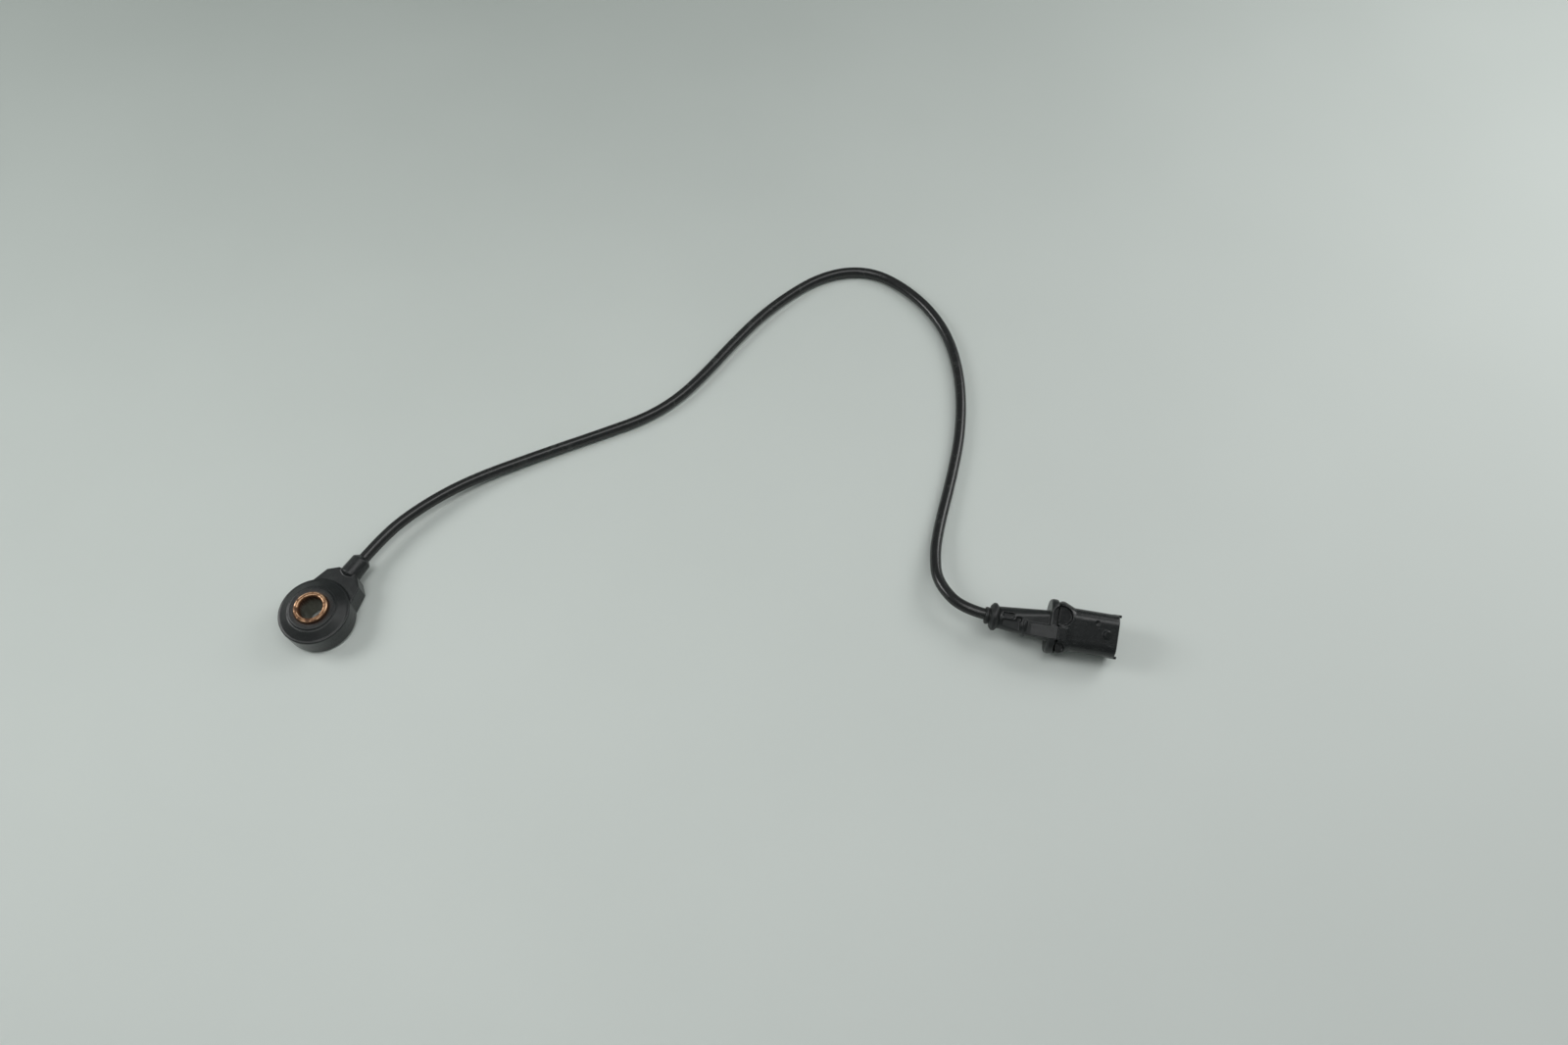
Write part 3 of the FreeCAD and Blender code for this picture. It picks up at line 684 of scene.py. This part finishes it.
class TurnedPiece(NodeTree):
    """Turns a closed outline of radius and height about Z, with its corners rounded."""

    def __init__(self) -> None:
        """Builds the tree: rounded outline, a grid of steps round the axis, and the places on it."""
        numbers = {"Round": "NodeSocketFloat", "Corner Steps": "NodeSocketInt", "Steps Round": "NodeSocketInt"}
        super().__init__("turned_piece", numbers)
        curve = self.add("GeometryNodeMeshToCurve", None, {0: self.given("Geometry")}).outputs[0]
        fillet = self.add("GeometryNodeFilletCurve", {"mode": "POLY"}, {
            0: curve, "Radius": self.given("Round"), "Count": self.given("Corner Steps"),
            "Limit Radius": True})
        points = self.add("GeometryNodeCurveToPoints", {"mode": "EVALUATED"}, {0: fillet.outputs[0]}).outputs[0]
        size = self.add("GeometryNodeAttributeDomainSize", {"component": "POINTCLOUD"}, {0: points})
        count = size.outputs["Point Count"]
        rows = self.math("ADD", count, 1.0)
        columns = self.math("ADD", self.given("Steps Round"), 1.0)
        grid = self.add("GeometryNodeMeshGrid", None, {
            "Size X": 1.0, "Size Y": 1.0, "Vertices X": columns, "Vertices Y": rows})
        place = self.add("GeometryNodeInputPosition").outputs[0]
        split = self.add("ShaderNodeSeparateXYZ", None, {0: place})
        turn = self.math("MULTIPLY", self.math("ADD", split.outputs[0], 0.5), 2 * math.pi)
        along = self.math("ROUND", self.math("MULTIPLY", self.math("ADD", split.outputs[1], 0.5), count))
        index = self.math("MODULO", along, count)
        outline = self.add("GeometryNodeSampleIndex", {"data_type": "FLOAT_VECTOR", "domain": "POINT"}, {
            0: points, "Value": place, "Index": index})
        there = self.add("ShaderNodeSeparateXYZ", None, {0: outline.outputs[0]})
        radius = there.outputs[0]
        spot = self.add("ShaderNodeCombineXYZ", None, {
            0: self.math("MULTIPLY", radius, self.math("COSINE", turn)),
            1: self.math("MULTIPLY", radius, self.math("SINE", turn)),
            2: there.outputs[2]})
        shaped = self.add("GeometryNodeSetPosition", None, {0: grid.outputs[0], "Position": spot.outputs[0]})
        joined = self.add("GeometryNodeMergeByDistance", None, {0: shaped.outputs[0], "Distance": 1e-6})
        smooth = self.add("GeometryNodeSetShadeSmooth", None, {0: joined.outputs[0], "Shade Smooth": True})
        self.close(smooth.outputs[0])

    def make(self, name: str, outline: Sequence[Tuple[float, float]], rounding: float,
             material: bpy.types.Material, steps: int = 160, spin: Optional[Matrix] = None
             ) -> bpy.types.Object:
        """Makes one turned piece.

        Args:
            name: The piece's name.
            outline: Closed outline as (radius, height) pairs, in metres.
            rounding: Radius of the rounded corners.
            material: Its finish.
            steps: Steps round the axis.
            spin: Where the axis goes, if not up from the origin.

        Returns:
            The piece with its faces outward.
        """
        mesh = bpy.data.meshes.new(name + "_outline")
        last = len(outline)
        mesh.from_pydata([(r, 0.0, z) for r, z in outline], [(i, (i + 1) % last) for i in range(last)], [])
        base = Workshop.new_object(name + "_outline", mesh)
        values = {"Round": rounding, "Corner Steps": 4, "Steps Round": steps, "Material": material}
        piece = self.run(base, name, values)
        shell = bmesh.new()
        shell.from_mesh(piece.data)
        bmesh.ops.remove_doubles(shell, verts=shell.verts, dist=1e-7)
        bmesh.ops.recalc_face_normals(shell, faces=shell.faces)
        if spin is not None:
            bmesh.ops.transform(shell, matrix=spin, verts=shell.verts)
        shell.to_mesh(piece.data)
        shell.free()
        return piece


class ScatteredCrumbs(NodeTree):
    """Scatters small crumbs on the upward faces of a surface, between two radii about Z."""

    def __init__(self) -> None:
        """Builds the tree: points on the faces, one lumpy crumb on each."""
        numbers = {"Inner": "NodeSocketFloat", "Outer": "NodeSocketFloat", "Lowest": "NodeSocketFloat",
                   "Density": "NodeSocketFloat", "Grain": "NodeSocketFloat", "Seed": "NodeSocketInt"}
        super().__init__("scattered_crumbs", numbers)
        up = self.add("ShaderNodeSeparateXYZ", None, {0: self.add("GeometryNodeInputNormal").outputs[0]})
        place = self.add("GeometryNodeInputPosition").outputs[0]
        spot = self.add("ShaderNodeSeparateXYZ", None, {0: place})
        squares = [self.math("POWER", spot.outputs[axis], 2.0) for axis in (0, 1)]
        reach = self.math("SQRT", self.math("ADD", *squares))
        wanted = self.math("MULTIPLY", self.math("GREATER_THAN", reach, self.given("Inner")),
                           self.math("LESS_THAN", reach, self.given("Outer")))
        wanted = self.math("MULTIPLY", wanted, self.math("GREATER_THAN", spot.outputs[2], self.given("Lowest")))
        wanted = self.math("MULTIPLY", wanted, self.math("GREATER_THAN", up.outputs[2], 0.3))
        clouds = self.add("ShaderNodeTexNoise", None, {"Vector": place, "Scale": 380.0, "Detail": 3.0})
        heap = self.math("MULTIPLY", self.math("GREATER_THAN", clouds.outputs[0], 0.5), wanted)
        points = self.add("GeometryNodeDistributePointsOnFaces", None, {
            0: self.given("Geometry"), "Selection": heap, "Density": self.given("Density"),
            "Seed": self.given("Seed")}).outputs[0]
        crumb = self.add("GeometryNodeMeshIcoSphere", None, {"Radius": 1.0, "Subdivisions": 1}).outputs[0]
        turn = self.add("FunctionNodeRandomValue", {"data_type": "FLOAT_VECTOR"}, {
            0: (0.0, 0.0, 0.0), 1: (6.28, 6.28, 6.28), "Seed": self.given("Seed")}).outputs[0]
        other_seed = self.math("ADD", self.given("Seed"), 7.0)
        share = self.add("FunctionNodeRandomValue", {"data_type": "FLOAT_VECTOR"}, {
            0: (0.35, 0.35, 0.20), 1: (1.0, 0.8, 0.5), "Seed": other_seed}).outputs[0]
        size = self.add("ShaderNodeVectorMath", {"operation": "SCALE"}, {0: share, "Scale": self.given("Grain")})
        strewn = self.add("GeometryNodeInstanceOnPoints", None, {
            "Points": points, "Instance": crumb, "Rotation": turn, "Scale": size.outputs[0]})
        self.close(strewn.outputs[0])

    def make(self, name: str, surface: bpy.types.Object, values: Dict[str, Any]) -> bpy.types.Object:
        """Strews crumbs on a copy of a surface and keeps only the crumbs."""
        base = Workshop.new_object(name + "_surface", surface.data.copy())
        return self.run(base, name, values)


@dataclass
class SensorHead:
    """Round moulded head with its ear and cable neck, and the steel sleeve through it."""

    bore_r: float = 4.2 * MM
    wall: float = 1.8 * MM
    height: float = 12.8 * MM
    flange_r: float = 10.5 * MM
    flange_t: float = 2.0 * MM
    chamfer: float = 0.45 * MM
    edge: float = 0.3 * MM
    groove: float = 0.4 * MM
    groove_z: float = 1.25 * MM
    corner_round: float = 0.16 * MM
    boss_r: float = 8.2 * MM
    voxel: float = 0.188 * MM
    parting_z: float = 5.65 * MM
    stain_r: float = 7.5 * MM
    turned_steps: int = 192
    rust_reach: float = 1.5 * MM
    rust_lowest: float = 10 * MM
    rust_density: float = 9.0e6
    rust_grain: float = 0.11 * MM
    dust_reach: float = 30 * MM
    dust_lowest: float = 6 * MM
    dust_density: float = 0.9e6
    dust_grain: float = 0.09 * MM

    def outline(self) -> List[Tuple[float, float]]:
        """The sleeve's turned outline as (radius, height) pairs."""
        b, c, e, g = self.bore_r, self.chamfer, self.edge, self.groove
        tube = b + self.wall
        return [
            (b + c, 0.0), (self.flange_r - e, 0.0), (self.flange_r, e),
            (self.flange_r, self.groove_z - g), (self.flange_r - g, self.groove_z),
            (self.flange_r, self.groove_z + g), (self.flange_r, self.flange_t), (tube, self.flange_t),
            (tube, self.height - e), (tube - e, self.height), (b + c, self.height),
            (b, self.height - c), (b, c),
        ]

    def build(self, turned: TurnedPiece, crumbs: ScatteredCrumbs) -> List[bpy.types.Object]:
        """Makes and dresses the head.

        Args:
            turned: The tree that turns the sleeve.
            crumbs: The tree that strews rust scale and dust.

        Returns:
            The pieces.
        """
        black = MouldedPlastic("head_plastic", rough=0.34, dusty=0.10, polished=0.14, parting=self.parting_z,
                               stain_r=self.stain_r).build()
        moulding = Workshop.soft_moulding("sensor_housing", "head_moulding", self.voxel, Pass.MOULDED)
        Workshop.dress(moulding, black)
        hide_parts("sensor_housing")
        steel = RustedSleeve("rusted_sleeve").build()
        sleeve = turned.make("turned_sleeve", self.outline(), self.corner_round, steel, self.turned_steps)
        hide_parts("mounting_sleeve")
        tube = self.bore_r + self.wall
        rust = crumbs.make("rust_scale", moulding, {
            "Inner": tube, "Outer": tube + self.rust_reach, "Lowest": self.rust_lowest,
            "Density": self.rust_density, "Grain": self.rust_grain, "Seed": 11,
            "Material": Crumb("rust_crumbs", (0.16, 0.065, 0.028), (0.06, 0.028, 0.015)).build()})
        grit = crumbs.make("dust_grit", moulding, {
            "Inner": self.boss_r, "Outer": self.dust_reach, "Lowest": self.dust_lowest,
            "Density": self.dust_density, "Grain": self.dust_grain, "Seed": 23,
            "Material": Crumb("dust_crumbs", (0.13, 0.14, 0.12), (0.07, 0.072, 0.065)).build()})
        return [moulding, sleeve, rust, grit]


@dataclass
class FlyingCable:
    """The cable with its route over the surface, point for point as the part's source has it."""

    diameter: float = 4.2 * MM
    length: float = 0.446
    neck_z: float = 5.65
    plug_z: float = 7.7253
    exit_x: float = 26.0

    def route(self) -> List[Point]:
        """The route's points in millimetres, from inside the neck to inside the plug."""
        n, p = self.neck_z, self.plug_z
        return [
            (18, 0, n), (36, 0, n), (54, -4.5, 5.2), (73, -12.5, 3.6), (96.5, -28.5, 2.3),
            (117, -44, 2.1), (132, -55, 2.1), (146, -61, 2.1), (162, -64, 2.1), (181, -66, 2.1),
            (199.5, -69, 2.1), (215.5, -74, 2.1), (228.5, -80, 2.1), (238.5, -89, 2.1),
            (243.5, -100.5, 2.1), (242.5, -114.5, 2.1), (237.5, -129.5, 2.1), (227.5, -143.5, 2.1),
            (210.5, -156.5, 2.1), (189.5, -166.5, 2.1), (169, -172.5, 2.1), (146, -178, 2.6),
            (134, -182, 4.3), (123.5, -188, 6.2), (117.5, -202, p), (122.5, -216, p),
        ]

    def build(self) -> bpy.types.Object:
        """Lays the sheath as one smooth line."""
        curve = bpy.data.curves.new("cable_sheath", "CURVE")
        curve.dimensions = "3D"
        spline = curve.splines.new("NURBS")
        route = self.route()
        spline.points.add(len(route) - 1)
        for spot, place in zip(spline.points, route):
            spot.co = (*(v * MM for v in place), 1.0)
        spline.order_u = 3
        spline.use_endpoint_u = True
        spline.resolution_u = 14
        curve.bevel_depth = self.diameter / 2
        curve.bevel_resolution = 6
        curve.use_fill_caps = True
        sheath = Workshop.new_object("cable_sheath", curve)
        Workshop.dress(sheath, SatinSheath("satin_sheath").build())
        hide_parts("cable_jacket")
        return sheath


@dataclass
class Connector:
    """The plug: strain relief, rear moulding, shroud and pins, along its own axis."""

    bend: Point
    tip: Point
    gap_to_bend: float = 7.0 * MM
    roll: float = math.radians(22.0)
    cable_r: float = 2.15 * MM
    small_r: float = 3.1 * MM
    small_l: float = 1.8 * MM
    big_r: float = 5.0 * MM
    big_l: float = 3.0 * MM
    stem_r: float = 2.9 * MM
    stem_l: float = 3.4 * MM
    grip_round: float = 0.30 * MM
    grip_steps: int = 128
    voxel: float = 0.182 * MM

    def matrix(self) -> Matrix:
        """Takes the plug's own axes, with X ahead, to where the plug lies."""
        run = Vector(self.tip) - Vector(self.bend)
        heading = math.atan2(run.y, run.x)
        start = Vector(self.bend) + run.normalized() * self.gap_to_bend
        return Matrix.Translation(start) @ Matrix.Rotation(heading, 4, "Z") @ Matrix.Rotation(self.roll, 4, "X")

    def stance(self) -> Stance:
        """The plug's own axes for its materials."""
        placed = self.matrix()
        return Stance(tuple(placed.translation), tuple(placed.to_euler()))

    def grip_outline(self) -> List[Tuple[float, float]]:
        """The strain relief's outline as (radius, station) pairs, with a waist between its collars."""
        s, b = self.small_l, self.small_l + self.big_l
        return [
            (self.cable_r, 0.0), (self.small_r - 0.25 * MM, 0.0), (self.small_r, 0.35 * MM),
            (self.small_r, s - 0.7 * MM), (self.small_r - 0.45 * MM, s - 0.35 * MM), (self.small_r, s),
            (self.big_r - 1.1 * MM, s), (self.big_r, s + 1.0 * MM), (self.big_r, b - 1.0 * MM),
            (self.big_r - 1.1 * MM, b), (self.stem_r, b), (self.stem_r, b + self.stem_l),
            (self.cable_r, b + self.stem_l),
        ]

    def build(self, turned: TurnedPiece) -> List[bpy.types.Object]:
        """Makes and dresses the plug.

        Args:
            turned: The tree that turns the strain relief.

        Returns:
            The pieces, the CAD pins among them.
        """
        stance = self.stance()
        upright = self.matrix() @ Matrix.Rotation(math.pi / 2, 4, "Y")
        rubber = SoftRubber("relief_rubber", stance=stance).build()
        grip = turned.make("strain_relief", self.grip_outline(), self.grip_round, rubber,
                           self.grip_steps, upright)
        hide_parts("plug_grip")
        rear = Workshop.soft_moulding("plug_rear_body", "plug_rear_moulding", self.voxel, Pass.CRISP)
        Workshop.dress(rear, MouldedPlastic("rear_plastic", rough=0.31, dusty=0.07, stance=stance).build())
        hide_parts("plug_rear_body")
        shroud = Workshop.soft_moulding("plug_shroud", "plug_shroud_moulding", self.voxel, Pass.CRISP)
        Workshop.dress(shroud, MouldedPlastic("shroud_plastic", rough=0.27, dusty=0.05, stance=stance).build())
        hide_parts("plug_shroud")
        tin = WorkedMetal("tinned_blades", (0.62, 0.61, 0.58), (0.30, 0.28, 0.24), 0.26, stance=stance).build()
        pins = [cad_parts["terminal_pin_" + side] for side in "ab"]
        for pin in pins:
            Workshop.dress(pin, tin)
        return [grip, rear, shroud] + pins


@dataclass
class InnerPieces:
    """Finishes of the pieces that the mouldings hide."""

    def build(self) -> List[bpy.types.Object]:
        """Dresses every hidden CAD node."""
        finishes = {
            WorkedMetal("turned_steel", (0.50, 0.50, 0.50), (0.22, 0.20, 0.18), 0.34):
                ("seismic_mass", "disc_spring", "retaining_nut"),
            WorkedMetal("stamped_brass", (0.72, 0.53, 0.24), (0.34, 0.22, 0.09), 0.26):
                ("contact_disc_lower", "contact_disc_upper", "splice_a", "splice_b"),
            WorkedMetal("bare_copper", (0.72, 0.36, 0.20), (0.28, 0.12, 0.07), 0.30):
                ("head_wire_a", "head_wire_b", "plug_wire_a", "plug_wire_b"),
            PlainInsulation("amber_film", (0.58, 0.36, 0.13), (0.40, 0.22, 0.07), 0.30):
                ("insulating_liner", "insulating_washer_lower", "insulating_washer_upper"),
            PlainInsulation("fired_ceramic", (0.50, 0.45, 0.34), (0.38, 0.34, 0.26), 0.55):
                ("piezo_ring",),
            PlainInsulation("core_sleeving", (0.42, 0.41, 0.37), (0.30, 0.29, 0.26), 0.40):
                ("head_core_a", "head_core_b", "plug_core_a", "plug_core_b"),
        }
        dressed = []
        for finish, nodes in finishes.items():
            material = finish.build()
            for node in nodes:
                Workshop.dress(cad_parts[node], material)
                dressed.append(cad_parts[node])
        return dressed


@dataclass(frozen=True)
class SoftLamp:
    """One soft lamp. Its places are right, ahead and up from the middle of the table, in metres."""

    name: str
    place: Point
    size: Tuple[float, float]
    power: float
    target: Point = (0.0, 0.0, 0.0)
    spread: float = math.pi


@dataclass
class Studio:
    """Pale tabletop, soft lamps and an even surround."""

    middle: Point = (0.105, -0.085, 0.0)
    table_size: float = 6.0
    surround: float = 0.16
    surround_tint: Colour = (0.93, 1.0, 0.97)
    right: Point = (0.477, -0.879, 0.0)
    ahead: Point = (0.879, 0.477, 0.0)
    head_spot: Point = (-0.125, -0.05, 0.0)

    def lamps(self) -> List[SoftLamp]:
        """The lamps: a wide one overhead, a narrow one down the head's bore, and one to each side."""
        return [
            SoftLamp("ceiling_panel", (0.30, 0.05, 1.30), (0.50, 1.00), 3.8),
            SoftLamp("head_panel", (-0.22, -0.34, 1.10), (0.40, 0.40), 0.10, self.head_spot, math.radians(36)),
            SoftLamp("softbox_left", (-0.60, 0.08, 0.44), (0.30, 0.30), 1.7),
            SoftLamp("softbox_right", (0.54, 0.28, 0.40), (0.34, 0.34), 1.25),
        ]

    def build(self) -> None:
        """Makes the table, the lamps and the surround."""
        self._table()
        for lamp in self.lamps():
            self._hang(lamp)
        world = bpy.data.worlds.new("surround")
        world.use_nodes = True
        shade = world.node_tree.nodes["Background"]
        shade.inputs["Color"].default_value = (*self.surround_tint, 1.0)
        shade.inputs["Strength"].default_value = self.surround
        bpy.context.scene.world = world

    def _table(self) -> None:
        """Makes the flat tabletop."""
        bm = bmesh.new()
        bmesh.ops.create_grid(bm, x_segments=24, y_segments=24, size=self.table_size / 2)
        for vert in bm.verts:
            vert.co += Vector(self.middle)
        mesh = bpy.data.meshes.new("tabletop")
        bm.to_mesh(mesh)
        bm.free()
        table = Workshop.new_object("tabletop", mesh)
        Workshop.dress(table, Tabletop("pale_tabletop").build())

    def _hang(self, lamp: SoftLamp) -> None:
        """Hangs one lamp and points it at its target."""
        data = bpy.data.lights.new(lamp.name, "AREA")
        data.shape = "RECTANGLE"
        data.size, data.size_y = lamp.size
        data.energy = lamp.power
        data.spread = lamp.spread
        hung = Workshop.new_object(lamp.name, data)
        place = self._spot(lamp.place)
        hung.location = place
        hung.rotation_euler = (self._spot(lamp.target) - place).to_track_quat("-Z", "Y").to_euler()

    def _spot(self, place: Point) -> Vector:
        """Turns a place given right, ahead and up from the table's middle into one in the frame."""
        return Vector(self.middle) + Vector(self.right) * place[0] + Vector(self.ahead) * place[1] \
            + Vector((0, 0, place[2]))


@dataclass
class PhotoCamera:
    """The camera of the photograph: where it stood, how it leaned and its lens."""

    lens: float = 25.875
    sensor: float = 36.0
    pitch: float = math.radians(62.5)
    roll: float = math.radians(1.5)
    heading: float = math.radians(28.5)
    place: Point = (-0.05560, -0.22050, 0.38298)

    def build(self) -> bpy.types.Object:
        """Makes the camera and turns it."""
        level = Vector((math.cos(self.heading), math.sin(self.heading), 0.0))
        ahead = level * math.cos(self.pitch) - Vector((0, 0, 1)) * math.sin(self.pitch)
        side = level.cross(Vector((0, 0, 1)))
        up = side.cross(ahead)
        right = side * math.cos(self.roll) + up * math.sin(self.roll)
        lifted = right.cross(ahead)
        data = bpy.data.cameras.new("camera")
        data.lens = self.lens
        data.sensor_width = self.sensor
        data.clip_start = 0.01
        data.clip_end = 20.0
        camera = Workshop.new_object("camera", data)
        turn = Matrix((right, lifted, -ahead)).transposed().to_4x4()
        camera.matrix_world = Matrix.Translation(Vector(self.place)) @ turn
        bpy.context.scene.camera = camera
        return camera


def main() -> None:
    """Builds the camera, the studio and the sensor."""
    logging.basicConfig(level=logging.INFO, format="%(name)s %(message)s")
    PhotoCamera().build()
    Studio().build()
    turned = TurnedPiece()
    crumbs = ScatteredCrumbs()
    cable = FlyingCable()
    sheath = cable.build()
    bend, tip = [tuple(v * MM for v in place) for place in cable.route()[-2:]]
    head = SensorHead().build(turned, crumbs)
    plug = Connector(bend, tip).build(turned)
    hidden = InnerPieces().build()
    inner = [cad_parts[name + side] for name in ("plug_core_", "plug_wire_") for side in "ab"]
    plug + inner
    nodes = set(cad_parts.values())
    for piece in [sheath] + head + plug + hidden:
        if piece not in nodes:
            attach(piece, "root")
        Workshop.report(piece)
    bpy.context.scene.view_settings.view_transform = "Standard"


if __name__ == "__main__":
    main()
